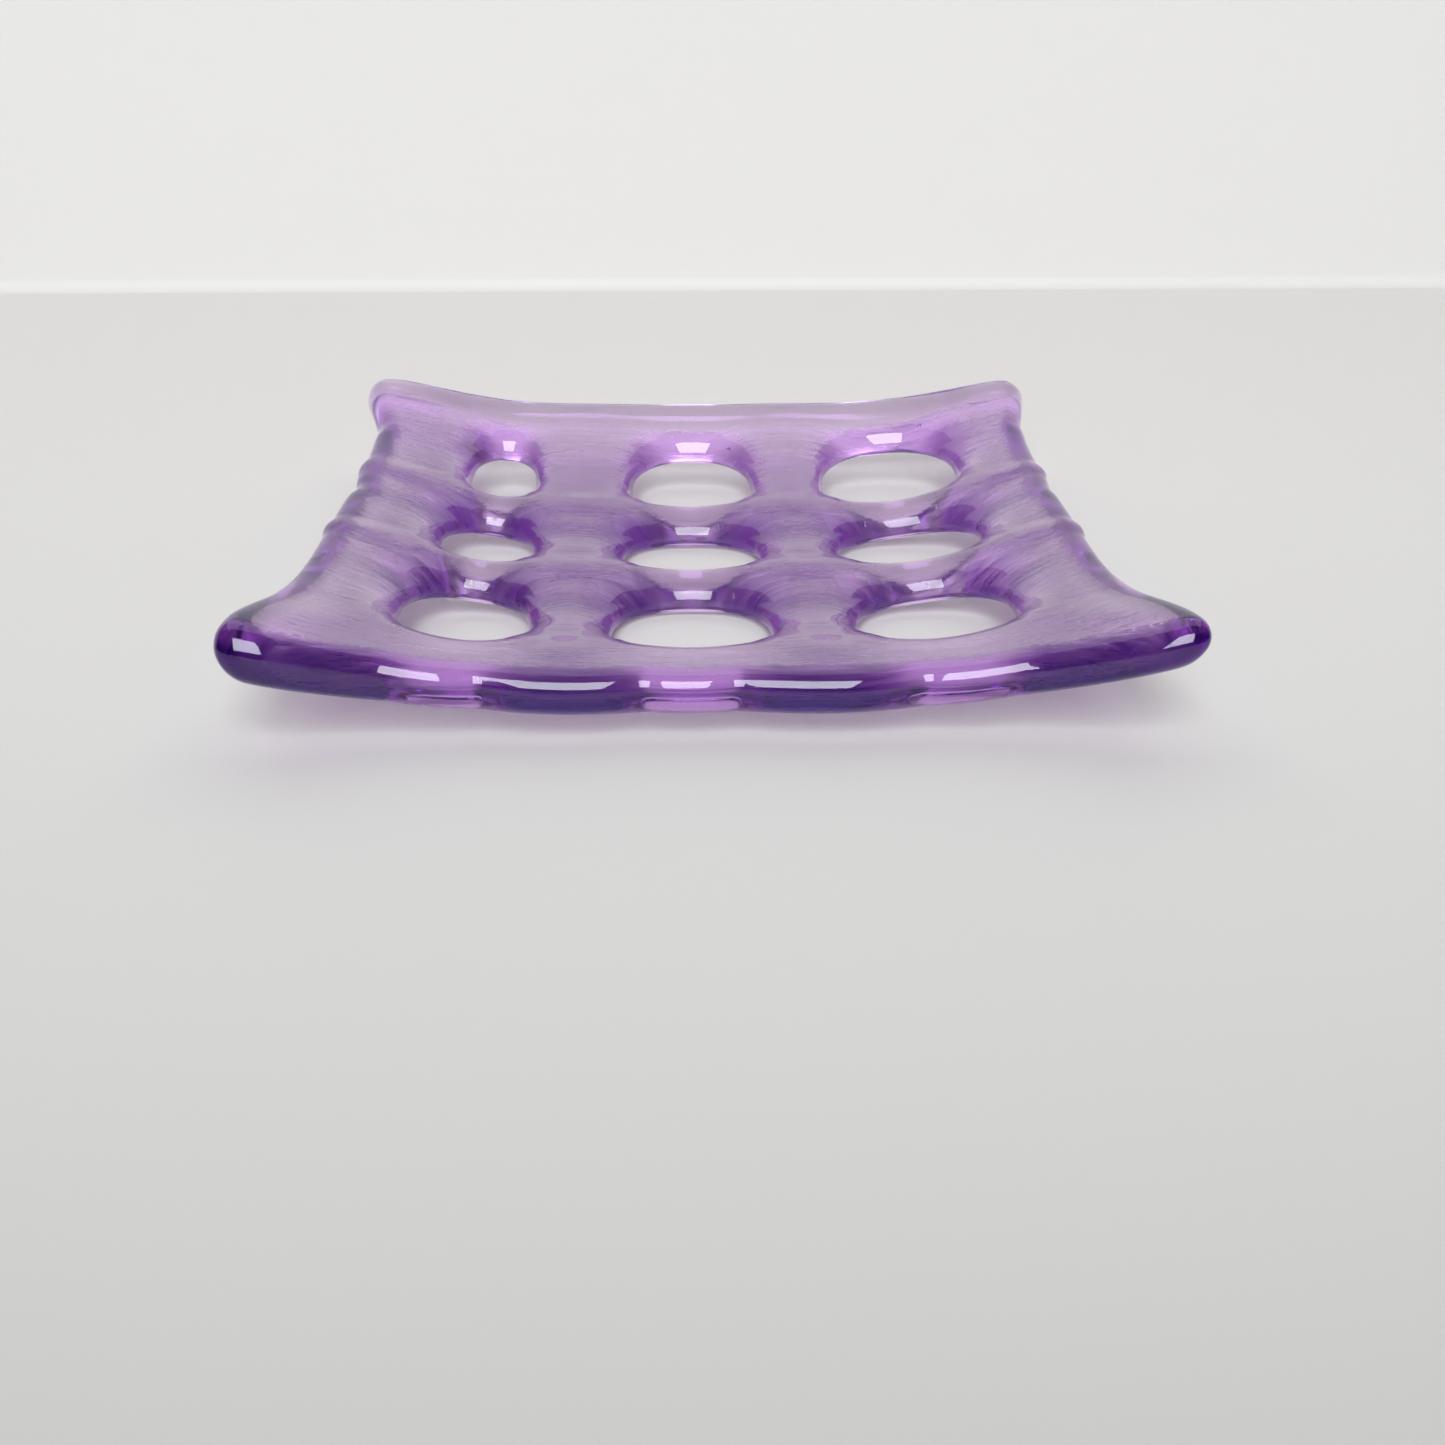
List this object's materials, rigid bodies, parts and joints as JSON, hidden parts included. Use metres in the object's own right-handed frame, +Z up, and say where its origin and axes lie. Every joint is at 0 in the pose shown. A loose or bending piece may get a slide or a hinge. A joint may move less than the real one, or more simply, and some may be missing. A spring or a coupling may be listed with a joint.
{
  "type": "flower frog",
  "caption": "Flower frog of clear purple fused glass: a square lattice of crossed strips, slumped into a shallow dish, whose rounded openings hold flower stems upright",
  "frame": {"origin": "bottom centre of the lattice, on the surface that the flat of the base rests on", "axes": "+X to the right, +Y from front to back, +Z up, out of the dish"},
  "size_m": [0.1044, 0.1083, 0.015],
  "materials": {
    "purple_glass": "fire-polished, clear, deep purple where light travels far through it"
  },
  "bodies": {
    "root": {"left_strip": "purple_glass", "inner_left_strip": "purple_glass", "inner_right_strip": "purple_glass", "right_strip": "purple_glass", "front_strip": "purple_glass", "inner_front_strip": "purple_glass", "inner_back_strip": "purple_glass", "back_strip": "purple_glass"}
  },
  "joints": []
}
